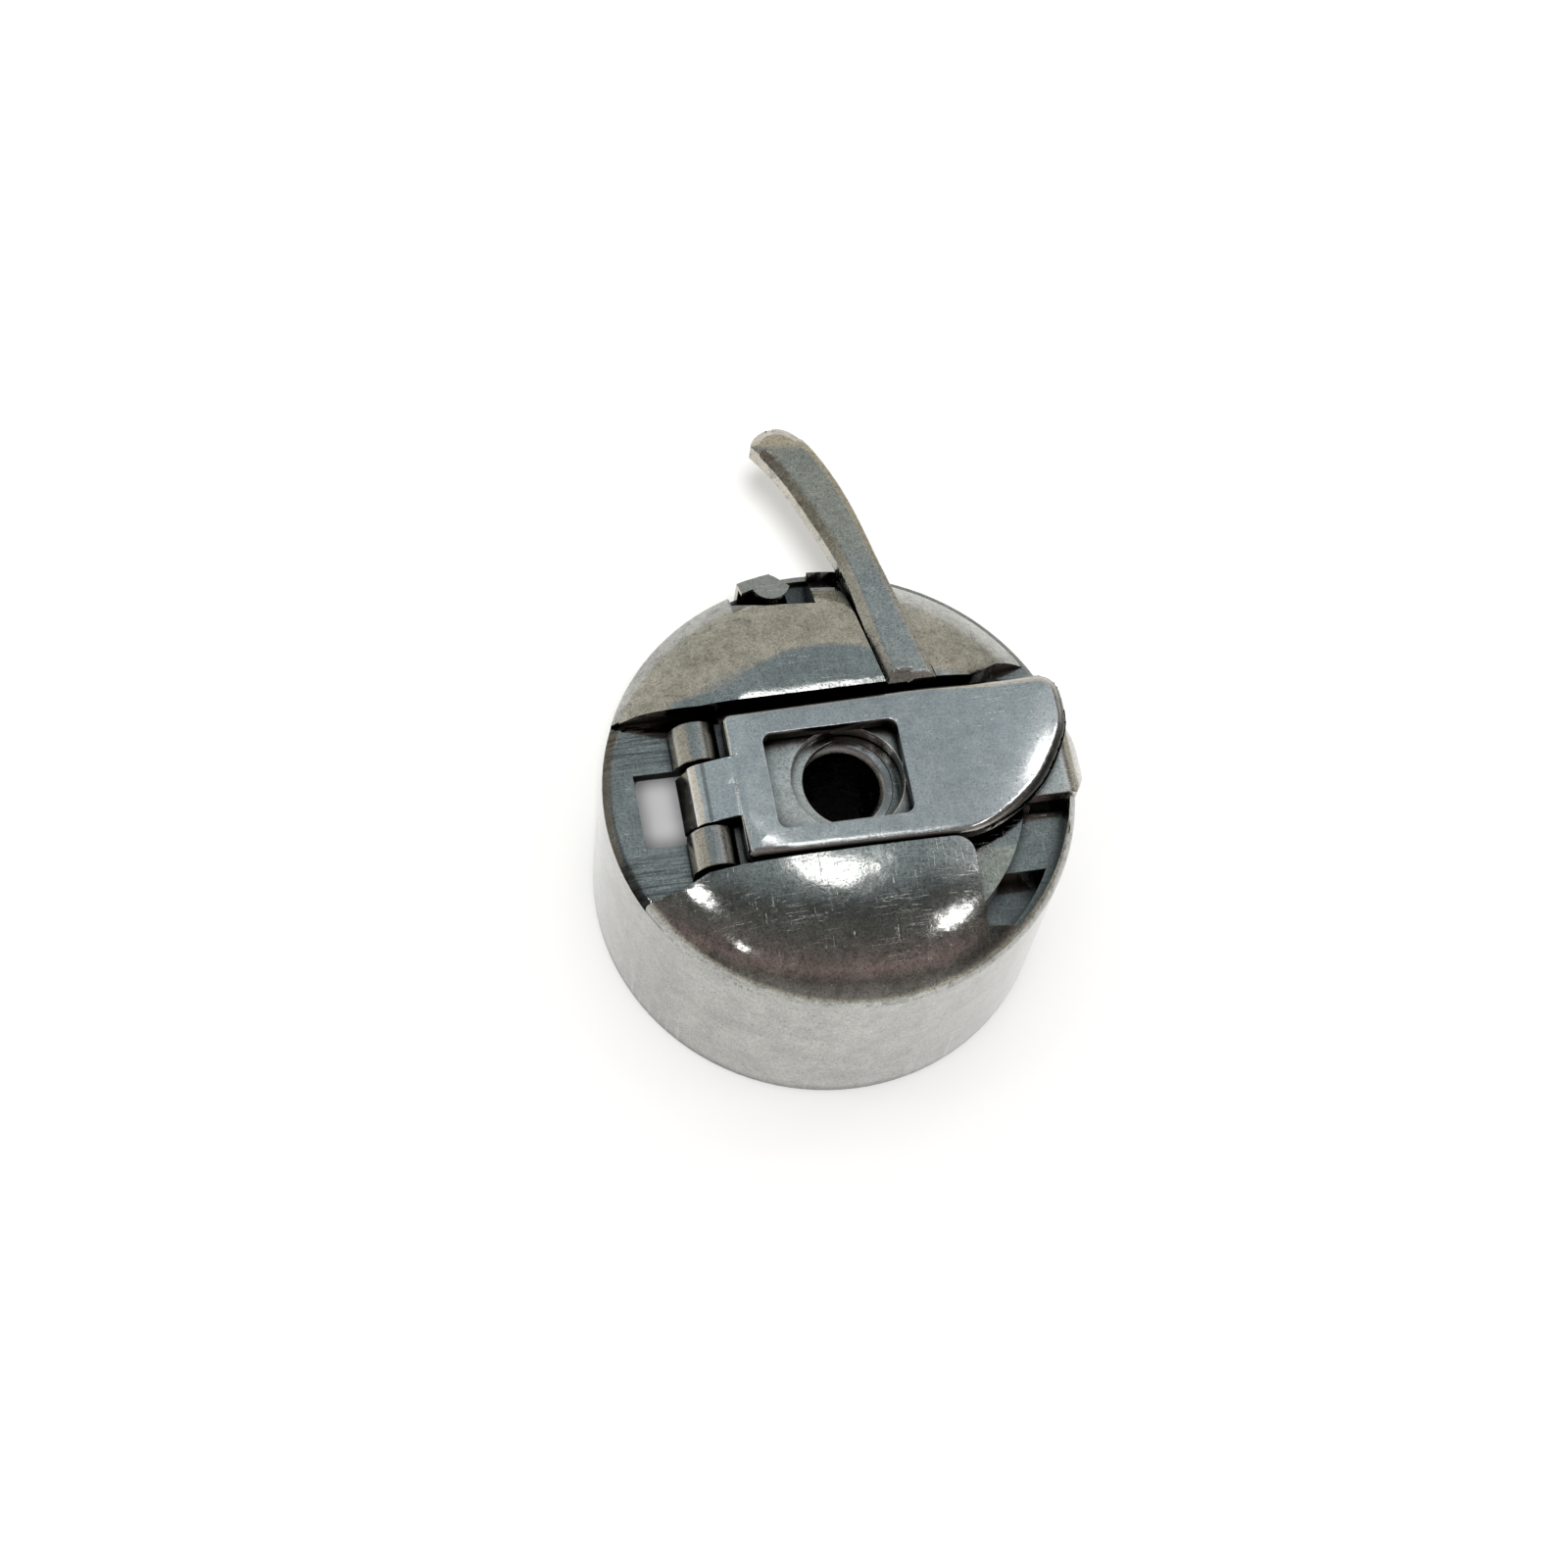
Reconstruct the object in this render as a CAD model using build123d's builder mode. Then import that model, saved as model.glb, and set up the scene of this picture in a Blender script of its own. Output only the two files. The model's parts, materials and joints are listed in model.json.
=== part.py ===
"""Bobbin case: a domed steel cup with a sliding latch, a hinged latch lever and a tension spring.

Millimetres, +Z up. The open rim stands on z = 0 and the axis of the cup is the Z axis. The latch
runs along X, from its hinge at -X to its free end at +X. The position finger points to +Y.
"""

import os
from math import cos, radians, sin

from build123d import *

# cup
CUP_OUTER_R = 11.5
CUP_INNER_R = 10.7
SHOULDER_Z = 11.4
FLAT_TOP_R = 7.0
TOP_Z = 13.6
CEILING_Z = 10.7
FLOOR_Z = 11.35
RIM_CHAMFER = 0.2
FAR = 14.0

# channel across the face, with an undercut on each side that the slide runs in
CHANNEL_BACK_Y = 4.3
CHANNEL_FRONT_Y = -4.2
UNDERCUT_BACK_Y = 4.75
UNDERCUT_FRONT_Y = -4.6
UNDERCUT_TOP_Z = 12.28
UNDERCUT_END_X = 5.05
LOBE_END_X = 5.4
LOBE_CORNER_R = 0.9

# openings in the face
CORNER_R = 11.1
CORNER_INNER_R = 9.0
CORNER_LOW_Y = -8.65
CORNER_STEP_Y = -5.35
CORNER_STEP_Z = 10.7
CORNER_POCKET_Z = 9.4
CORNER_SHELL = 0.4
WINDOW_X_LOW = -9.85
WINDOW_X_HIGH = -6.75
WINDOW_HALF_Y = 1.95
RELIEF_X_HIGH = -5.6
RELIEF_HALF_Y = 1.7
RELIEF_Z = 11.05
REAR_NOTCH_Z = 10.9
REAR_NOTCH_X_LOW = -3.6
REAR_NOTCH_X_HIGH = 0.4
BLOCK_X_HIGH = 2.3
BLOCK_Y_LOW = 9.3
BLOCK_TOP_Z = 12.1

# centre post
POST_R = 2.95
POST_NECK_R = 2.6
BORE_R = 1.95
BORE_CHAMFER = 0.25

# position finger
FINGER_BOTTOM_Z = 12.4
FINGER_TOP_Z = 13.6
FINGER_EDGE_R = 0.22
TANG_R = 0.6
TANG_X = 3.6
TANG_Y = 7.0
GROOVE_SIDE_GAP = 0.15

# latch slide
SLIDE_BOTTOM_Z = 11.4
SLIDE_TOP_Z = 12.2
SLIDE_TRAVEL = 1.0
SLIDE_X_LOW = -5.4
SLIDE_X_HIGH = 5.0
SLIDE_BACK_Y = 4.7
SLIDE_FRONT_Y = -4.55
LEDGE_TOP_Z = 11.75
HOLE_R = 2.75
HOLE_X = 0.3
LEDGE_HOLE_R = 2.3
LEDGE_HOLE_X = 0.45
HOOK_LOW_Y = -2.15
HOOK_HIGH_Y = 1.7
HOOK_OUTER_X = 12.0
HOOK_BEND_R = 1.3
HOOK_BOTTOM_Z = 9.2
HOOK_NOSE_R = 3.0
HOOK_GAP = 0.25

# hinge
PIN_X = -6.67
PIN_Z = 11.9
PIN_R = 0.38
PIN_GAP = 0.03
OUTER_KNUCKLE_R = 1.2
OUTER_KNUCKLE_Z = 11.6
OUTER_KNUCKLE_LOW_Y = 1.75
OUTER_KNUCKLE_HIGH_Y = 3.8
MIDDLE_KNUCKLE_HALF_Y = 1.55
KNUCKLE_SIDE_GAP = 0.1
KNUCKLE_ROOM = 0.3
KNUCKLE_OVERLAP = 0.2

# latch lever
LEVER_BOTTOM_Z = 12.3
LEVER_TOP_Z = 13.1
LEVER_SHOULDER_X = -5.3
LEVER_SHOULDER_R = 0.4
LEVER_ROOT_X_LOW = -5.4
LEVER_ROOT_X_HIGH = -4.8
LEVER_EDGE_R = 0.2
LEVER_KNUCKLE_R = 0.78
LEVER_WINDOW_X_LOW = -3.6
LEVER_WINDOW_X_HIGH = 3.05
LEVER_WINDOW_HALF_Y = 2.53
LEVER_WINDOW_R = 0.5
CAM_REACH = 1.08
CAM_NOSE_R = 0.3
CAM_ANGLE = -145.0
CAM_HALF_Y = 1.45

# slide spring, half in the floor and half in the slide
SPRING_Z = 11.45
SPRING_COIL_R = 0.34
SPRING_WIRE_R = 0.08
SPRING_X_LOW = 4.0
SPRING_X_HIGH = 7.6
SPRING_TURNS = 9
SPRING_SEAT_GAP = 0.02
POCKET_END_GAP = 0.1
POCKET_HALF_Y = 0.5
FLOOR_POCKET_Z = 11.02
FLOOR_POCKET_X_HIGH = 8.4
SLIDE_POCKET_Z = 11.9

# tension spring on the outside of the wall, and its two screws
LEAF_INNER_R = 11.52
LEAF_THICK = 0.25
LEAF_LOW_Z = 6.4
LEAF_HIGH_Z = 11.2
LEAF_START_ANGLE = 20.0
LEAF_END_ANGLE = 105.5
TAB_ROOT_ANGLE = 97.0
TAB_TOP_Z = 12.05
TAB_OUTER_R = 11.72
TAB_INNER_R = 11.17
TAB_CORNER_R = 11.57
TAB_CORNER_ANGLE = 96.0
SCREW_Z = 8.8
ADJUSTER_ANGLE = 60.0
FIXING_ANGLE = 31.0
SCREW_SEAT_GAP = 0.02
SCREW_TIP_R = 10.78
SCREW_SHANK_R = 0.58
SCREW_HOLE_R = 0.6
SCREW_LEAF_HOLE_R = 0.7
SCREW_HOLE_OVERRUN = 0.5
SCREW_HEAD_CHAMFER = 0.12
SCREW_SLOT_WIDTH = 0.34
SCREW_SLOT_SHARE = 0.55
ADJUSTER_HEAD_R = 1.35
ADJUSTER_HEAD_HEIGHT = 0.65
FIXING_HEAD_R = 1.05
FIXING_HEAD_HEIGHT = 0.5

# thread slit in the wall
SLIT_WIDTH = 0.45
SLIT_ENTRY_ANGLE = 46.0
SLIT_EXIT_ANGLE = 94.5
SLIT_TURN_Z = 7.0
SLIT_TOP_Z = 12.4
SLIT_OVERRUN = 0.3


def radial_plane(angle, radius, height):
    """Plane square to the wall, its normal pointing away from the cup's axis."""
    direction = (cos(radians(angle)), sin(radians(angle)), 0)
    origin = (radius * direction[0], radius * direction[1], height)
    return Plane(origin=origin, x_dir=(0, 0, 1), z_dir=direction)


def polar(radius, angle):
    """Point in plan at a radius and an angle."""
    return (radius * cos(radians(angle)), radius * sin(radians(angle)))


def finger_outline(side_gap, end_y):
    """Plan outline of the finger, grown by a gap on its left side, cut off flat at end_y."""
    left = [(3.02, 4.3), (2.39, 7.76), (1.73, 11.4), (0.9, 13.75), (-0.15, 16.3), (-1.3, 18.2)]
    right = [(1.1, 18.75), (2.08, 17.0), (3.04, 14.4), (3.8, 11.1), (4.55, 8.0), (5.4, 4.3)]
    left = [(x - side_gap, y) for x, y in left]
    with BuildSketch() as outline:
        with BuildLine():
            side = Spline(*left)
            tip = ThreePointArc(left[-1], (-0.4, 19.3), right[0])
            other = Spline(*right)
            Line(other @ 1, side @ 0)
        make_face()
        if end_y:
            with Locations((0, end_y / 2)):
                Rectangle(2 * FAR, end_y, mode=Mode.INTERSECT)
    return outline.sketch


def screw(angle, head_r, head_height, name):
    """Slotted cheese-head screw through the tension spring into the wall."""
    seat_r = LEAF_INNER_R + LEAF_THICK + SCREW_SEAT_GAP
    seat = radial_plane(angle, seat_r, SCREW_Z)
    with BuildPart() as made:
        with BuildSketch(seat):
            Circle(head_r)
        extrude(amount=head_height)
        chamfer(made.faces().sort_by(Axis(seat.origin, seat.z_dir))[-1].edges(), SCREW_HEAD_CHAMFER)
        with BuildSketch(seat):
            Circle(SCREW_SHANK_R)
        extrude(amount=SCREW_TIP_R - seat_r)
        with BuildSketch(seat.offset(head_height)):
            Rectangle(4 * head_r, SCREW_SLOT_WIDTH)
        extrude(amount=-SCREW_SLOT_SHARE * head_height, mode=Mode.SUBTRACT)
    made.part.label = name
    return made.part


channel_outline = [
    (-FAR, 4.6),
    (-9.2, 4.65),
    (-7.9, 4.5),
    (-6.3, CHANNEL_BACK_Y),
    (7.1, CHANNEL_BACK_Y),
    (7.9, 4.6),
    (8.7, 5.05),
    (9.5, 5.2),
    (FAR, 5.4),
    (FAR, HOOK_LOW_Y - HOOK_GAP),
    (8.0, HOOK_LOW_Y - HOOK_GAP),
    (8.0, CHANNEL_FRONT_Y),
    (-5.6, CHANNEL_FRONT_Y),
    (-7.3, -4.3),
    (-8.7, -4.85),
    (-FAR, -5.3),
]

with BuildPart() as case_body:
    with BuildSketch(Plane.XZ):
        with BuildLine():
            Polyline((0, TOP_Z), (0, CEILING_Z), (CUP_INNER_R, CEILING_Z), (CUP_INNER_R, 0))
            Polyline((CUP_INNER_R, 0), (CUP_OUTER_R, 0), (CUP_OUTER_R, SHOULDER_Z))
            EllipticalCenterArc(
                (FLAT_TOP_R, SHOULDER_Z),
                CUP_OUTER_R - FLAT_TOP_R,
                TOP_Z - SHOULDER_Z,
                start_angle=0,
                arc_size=90,
            )
            Line((FLAT_TOP_R, TOP_Z), (0, TOP_Z))
        make_face()
    revolve(axis=Axis.Z)
    chamfer(case_body.faces().sort_by(Axis.Z)[0].outer_wire().edges(), RIM_CHAMFER)

    # raised block beside the finger, behind the face
    with BuildSketch(Plane.XY.offset(FLOOR_Z)):
        Circle(CUP_OUTER_R)
        with Locations(((REAR_NOTCH_X_HIGH + BLOCK_X_HIGH) / 2, (BLOCK_Y_LOW + FAR) / 2)):
            Rectangle(BLOCK_X_HIGH - REAR_NOTCH_X_HIGH, FAR - BLOCK_Y_LOW, mode=Mode.INTERSECT)
    extrude(amount=BLOCK_TOP_Z - FLOOR_Z)

    # channel, with the near half of the face ending at a straight cut
    with BuildSketch(Plane.XY.offset(FLOOR_Z)):
        with BuildLine():
            Polyline(*channel_outline, close=True)
        make_face()
    extrude(amount=TOP_Z, mode=Mode.SUBTRACT)
    with BuildSketch(Plane.XY.offset(FLOOR_Z)):
        Circle(CORNER_R)
        with Locations((LOBE_END_X, CORNER_LOW_Y)):
            Rectangle(
                FAR,
                HOOK_LOW_Y - HOOK_GAP - CORNER_LOW_Y,
                align=Align.MIN,
                mode=Mode.INTERSECT,
            )
    extrude(amount=TOP_Z, mode=Mode.SUBTRACT)
    with BuildSketch(Plane.XY.offset(FLOOR_Z)):
        with Locations((LOBE_END_X - LOBE_CORNER_R, CHANNEL_FRONT_Y - LOBE_CORNER_R)):
            Rectangle(2 * LOBE_CORNER_R, 2 * LOBE_CORNER_R, align=Align.MIN)
            Circle(LOBE_CORNER_R, mode=Mode.SUBTRACT)
    extrude(amount=TOP_Z, mode=Mode.SUBTRACT)

    # undercuts for the slide's edges
    with BuildSketch(Plane.XY.offset(FLOOR_Z)):
        with Locations((UNDERCUT_END_X, UNDERCUT_FRONT_Y)):
            Rectangle(FAR * 2, UNDERCUT_BACK_Y - UNDERCUT_FRONT_Y, align=(Align.MAX, Align.MIN))
    extrude(amount=UNDERCUT_TOP_Z - FLOOR_Z, mode=Mode.SUBTRACT)

    # stepped pocket between the floor and the wall at the cut-away corner
    for step_high_y, step_z, shell_r in (
        (HOOK_LOW_Y - HOOK_GAP, CORNER_STEP_Z, CORNER_INNER_R - CORNER_SHELL),
        (CORNER_STEP_Y, CORNER_POCKET_Z, CORNER_INNER_R - 2 * CORNER_SHELL),
    ):
        with BuildSketch(Plane.XY.offset(step_z - CORNER_SHELL)):
            Circle(CUP_INNER_R + CORNER_SHELL)
            Circle(shell_r, mode=Mode.SUBTRACT)
            with Locations((LOBE_END_X - CORNER_SHELL, CORNER_LOW_Y - CORNER_SHELL)):
                Rectangle(
                    FAR,
                    step_high_y - CORNER_LOW_Y + 2 * CORNER_SHELL,
                    align=Align.MIN,
                    mode=Mode.INTERSECT,
                )
        extrude(amount=CEILING_Z - step_z + CORNER_SHELL)
    for step_high_y, step_z, outer_r in (
        (HOOK_LOW_Y - HOOK_GAP, CORNER_STEP_Z, CORNER_R),
        (CORNER_STEP_Y, CORNER_POCKET_Z, CUP_INNER_R),
    ):
        with BuildSketch(Plane.XY.offset(step_z)):
            Circle(outer_r)
            Circle(CORNER_INNER_R, mode=Mode.SUBTRACT)
            with Locations((LOBE_END_X, CORNER_LOW_Y)):
                Rectangle(FAR, step_high_y - CORNER_LOW_Y, align=Align.MIN, mode=Mode.INTERSECT)
        extrude(amount=FLOOR_Z - step_z, mode=Mode.SUBTRACT)

    # slot in the wall and the floor for the hook
    with BuildSketch(Plane.XY.offset(HOOK_BOTTOM_Z - HOOK_GAP)):
        with Locations((CORNER_INNER_R, HOOK_LOW_Y - HOOK_GAP)):
            Rectangle(FAR, HOOK_HIGH_Y - HOOK_LOW_Y + 2 * HOOK_GAP, align=Align.MIN)
    extrude(amount=TOP_Z, mode=Mode.SUBTRACT)

    # window in the floor for the cam, and a shallow relief under the hinge
    with BuildSketch(Plane.XY.offset(FLOOR_Z)):
        with Locations(((WINDOW_X_LOW + WINDOW_X_HIGH) / 2, 0)):
            Rectangle(WINDOW_X_HIGH - WINDOW_X_LOW, 2 * WINDOW_HALF_Y)
    extrude(amount=CEILING_Z - FLOOR_Z, mode=Mode.SUBTRACT)
    with BuildSketch(Plane.XY.offset(RELIEF_Z)):
        with Locations((WINDOW_X_HIGH, 0)):
            Rectangle(
                RELIEF_X_HIGH - WINDOW_X_HIGH,
                2 * RELIEF_HALF_Y,
                align=(Align.MIN, Align.CENTER),
            )
    extrude(amount=FLOOR_Z - RELIEF_Z, mode=Mode.SUBTRACT)

    # pocket in the floor for the lower half of the slide spring
    with BuildSketch(Plane.XY.offset(FLOOR_Z)):
        with Locations((SPRING_X_LOW, 0)):
            Rectangle(
                FLOOR_POCKET_X_HIGH - SPRING_X_LOW,
                2 * POCKET_HALF_Y,
                align=(Align.MIN, Align.CENTER),
            )
    extrude(amount=FLOOR_POCKET_Z - FLOOR_Z, mode=Mode.SUBTRACT)

    # notch behind the face, where the thread comes out
    with BuildSketch(Plane.XY.offset(REAR_NOTCH_Z)):
        with BuildLine():
            Polyline(
                (REAR_NOTCH_X_LOW, 10.15),
                (-2.1, 9.65),
                (REAR_NOTCH_X_HIGH, 9.35),
                (REAR_NOTCH_X_HIGH, FAR),
                (REAR_NOTCH_X_LOW, FAR),
                close=True,
            )
        make_face()
    extrude(amount=TOP_Z, mode=Mode.SUBTRACT)

    # groove and staking hole for the finger
    with BuildSketch(Plane.XY.offset(FINGER_BOTTOM_Z)):
        add(finger_outline(GROOVE_SIDE_GAP, FAR))
    extrude(amount=TOP_Z, mode=Mode.SUBTRACT)
    with BuildSketch(Plane.XY.offset(FINGER_BOTTOM_Z)):
        with Locations((TANG_X, TANG_Y)):
            Circle(TANG_R)
    extrude(amount=-TOP_Z / 2, mode=Mode.SUBTRACT)

    # hole for the neck of the centre post
    with BuildSketch(Plane.XY):
        Circle(POST_NECK_R)
    extrude(amount=TOP_Z, mode=Mode.SUBTRACT)

    # thread slit: up from the rim, along under the tension spring, then up to the notch
    for slit_angle, slit_low_z, slit_high_z in (
        (SLIT_ENTRY_ANGLE, -SLIT_OVERRUN, SLIT_TURN_Z + SLIT_WIDTH),
        (SLIT_EXIT_ANGLE, SLIT_TURN_Z, SLIT_TOP_Z),
    ):
        with BuildSketch(radial_plane(slit_angle, CUP_INNER_R - SLIT_OVERRUN, slit_low_z)):
            Rectangle(slit_high_z - slit_low_z, SLIT_WIDTH, align=(Align.MIN, Align.CENTER))
        extrude(amount=CUP_OUTER_R - CUP_INNER_R + 2 * SLIT_OVERRUN, mode=Mode.SUBTRACT)
    with BuildSketch(Plane.XY.offset(SLIT_TURN_Z)):
        with BuildLine():
            Polyline(
                (0, 0),
                polar(2 * FAR, SLIT_ENTRY_ANGLE),
                polar(2 * FAR, (SLIT_ENTRY_ANGLE + SLIT_EXIT_ANGLE) / 2),
                polar(2 * FAR, SLIT_EXIT_ANGLE),
                close=True,
            )
        make_face()
        Circle(CUP_OUTER_R + SLIT_OVERRUN, mode=Mode.INTERSECT)
        Circle(CUP_INNER_R - SLIT_OVERRUN, mode=Mode.SUBTRACT)
    extrude(amount=SLIT_WIDTH, mode=Mode.SUBTRACT)

    # tapped holes for the two screws
    for screw_angle in (ADJUSTER_ANGLE, FIXING_ANGLE):
        with BuildSketch(radial_plane(screw_angle, CUP_INNER_R - SCREW_HOLE_OVERRUN, SCREW_Z)):
            Circle(SCREW_HOLE_R)
        extrude(amount=CUP_OUTER_R - CUP_INNER_R + 2 * SCREW_HOLE_OVERRUN, mode=Mode.SUBTRACT)
case_body.part.label = "case_body"

with BuildPart() as centre_post:
    with BuildSketch(Plane.XY):
        Circle(POST_R)
    extrude(amount=CEILING_Z)
    with BuildSketch(Plane.XY):
        Circle(POST_NECK_R)
    extrude(amount=FLOOR_Z)
    with BuildSketch(Plane.XY):
        Circle(BORE_R)
    extrude(amount=FLOOR_Z, mode=Mode.SUBTRACT)
    bore_mouth = centre_post.faces().sort_by(Axis.Z)[-1].inner_wires()[0].edges()
    chamfer(bore_mouth, BORE_CHAMFER)
    chamfer(centre_post.faces().sort_by(Axis.Z)[0].outer_wire().edges(), BORE_CHAMFER)
centre_post.part.label = "centre_post"

with BuildPart() as position_finger:
    with BuildSketch(Plane.XY.offset(FINGER_BOTTOM_Z)):
        add(finger_outline(0, 0))
    extrude(amount=FINGER_TOP_Z - FINGER_BOTTOM_Z)
    fillet(position_finger.faces().sort_by(Axis.Z)[-1].edges(), FINGER_EDGE_R)
    with BuildSketch(Plane.XY.offset(CEILING_Z)):
        with Locations((TANG_X, TANG_Y)):
            Circle(TANG_R)
    extrude(amount=FINGER_BOTTOM_Z - CEILING_Z)
position_finger.part.label = "position_finger"

with BuildPart() as latch_slide:
    # plate with its narrow tail
    with BuildSketch(Plane.XY.offset(SLIDE_BOTTOM_Z)):
        with Locations((SLIDE_X_LOW, SLIDE_FRONT_Y)):
            Rectangle(SLIDE_X_HIGH - SLIDE_X_LOW, SLIDE_BACK_Y - SLIDE_FRONT_Y, align=Align.MIN)
        with Locations((0, HOOK_LOW_Y)):
            Rectangle(HOOK_OUTER_X - HOOK_BEND_R, HOOK_HIGH_Y - HOOK_LOW_Y, align=Align.MIN)
    extrude(amount=SLIDE_TOP_Z - SLIDE_BOTTOM_Z)

    # bent-down hook that keeps the bobbin in when the latch is open
    with BuildSketch(Plane.XZ.offset(-HOOK_LOW_Y)):
        with BuildLine():
            bend_x = HOOK_OUTER_X - HOOK_BEND_R
            bend_z = SLIDE_TOP_Z - HOOK_BEND_R
            inner_bend_r = HOOK_BEND_R - (SLIDE_TOP_Z - SLIDE_BOTTOM_Z)
            outer_bend = CenterArc((bend_x, bend_z), HOOK_BEND_R, 0, 90)
            inner_bend = CenterArc((bend_x, bend_z), inner_bend_r, 0, 90)
            Line(outer_bend @ 1, inner_bend @ 1)
            Polyline(
                outer_bend @ 0,
                (HOOK_OUTER_X, HOOK_BOTTOM_Z),
                (bend_x + inner_bend_r, HOOK_BOTTOM_Z),
                inner_bend @ 0,
            )
        make_face()
    extrude(amount=-(HOOK_HIGH_Y - HOOK_LOW_Y))
    with BuildSketch(Plane.XY.offset(HOOK_BOTTOM_Z)):
        with Locations((HOOK_OUTER_X - HOOK_NOSE_R, (HOOK_LOW_Y + HOOK_HIGH_Y) / 2)):
            Circle(HOOK_NOSE_R)
        with Locations((HOOK_OUTER_X - HOOK_NOSE_R, 0)):
            Rectangle(2 * FAR, 2 * FAR, align=(Align.MAX, Align.CENTER))
    extrude(amount=TOP_Z, mode=Mode.INTERSECT)

    # outer hinge knuckles
    for side in (1, -1):
        near_y = side * OUTER_KNUCKLE_LOW_Y
        length = side * (OUTER_KNUCKLE_HIGH_Y - OUTER_KNUCKLE_LOW_Y)
        with BuildSketch(Plane.XZ.offset(-near_y)):
            with Locations((PIN_X, OUTER_KNUCKLE_Z)):
                Circle(OUTER_KNUCKLE_R)
            with Locations((PIN_X, SLIDE_BOTTOM_Z)):
                Rectangle(
                    SLIDE_X_LOW - PIN_X + KNUCKLE_OVERLAP,
                    SLIDE_TOP_Z - SLIDE_BOTTOM_Z,
                    align=Align.MIN,
                )
            with Locations((PIN_X, SLIDE_BOTTOM_Z)):
                Rectangle(FAR, FAR, align=(Align.CENTER, Align.MAX), mode=Mode.SUBTRACT)
        extrude(amount=-length)

    # room for the lever's knuckle, and the pin's hole
    with BuildSketch(Plane.XY.offset(SLIDE_BOTTOM_Z)):
        with Locations((SLIDE_X_LOW, 0)):
            Rectangle(
                KNUCKLE_ROOM,
                2 * (MIDDLE_KNUCKLE_HALF_Y + KNUCKLE_SIDE_GAP),
                align=(Align.MIN, Align.CENTER),
            )
    extrude(amount=TOP_Z, mode=Mode.SUBTRACT)
    with BuildSketch(Plane.XZ):
        with Locations((PIN_X, PIN_Z)):
            Circle(PIN_R)
    extrude(amount=FAR, both=True, mode=Mode.SUBTRACT)

    # hole over the bore, with a thin ledge that drops into the groove of the machine's stud
    with BuildSketch(Plane.XY.offset(LEDGE_TOP_Z)):
        with Locations((HOLE_X, 0)):
            Circle(HOLE_R)
    extrude(amount=TOP_Z, mode=Mode.SUBTRACT)
    with BuildSketch(Plane.XY.offset(SLIDE_BOTTOM_Z)):
        with Locations((HOLE_X, 0)):
            Circle(HOLE_R)
        Rectangle(FAR, FAR, align=(Align.MIN, Align.CENTER), mode=Mode.INTERSECT)
        with Locations((LEDGE_HOLE_X, 0)):
            Circle(LEDGE_HOLE_R)
    extrude(amount=TOP_Z, mode=Mode.SUBTRACT)

    # pocket for the upper half of the slide spring
    with BuildSketch(Plane.XY.offset(SLIDE_BOTTOM_Z)):
        with Locations((SPRING_X_LOW - POCKET_END_GAP, 0)):
            Rectangle(
                SPRING_X_HIGH - SPRING_X_LOW + POCKET_END_GAP,
                2 * POCKET_HALF_Y,
                align=(Align.MIN, Align.CENTER),
            )
    extrude(amount=SLIDE_POCKET_Z - SLIDE_BOTTOM_Z, mode=Mode.SUBTRACT)
latch_slide.part.label = "latch_slide"

with BuildPart() as hinge_pin:
    with BuildSketch(Plane.XZ.offset(OUTER_KNUCKLE_HIGH_Y)):
        with Locations((PIN_X, PIN_Z)):
            Circle(PIN_R)
    extrude(amount=-2 * OUTER_KNUCKLE_HIGH_Y)
hinge_pin.part.label = "hinge_pin"

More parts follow.
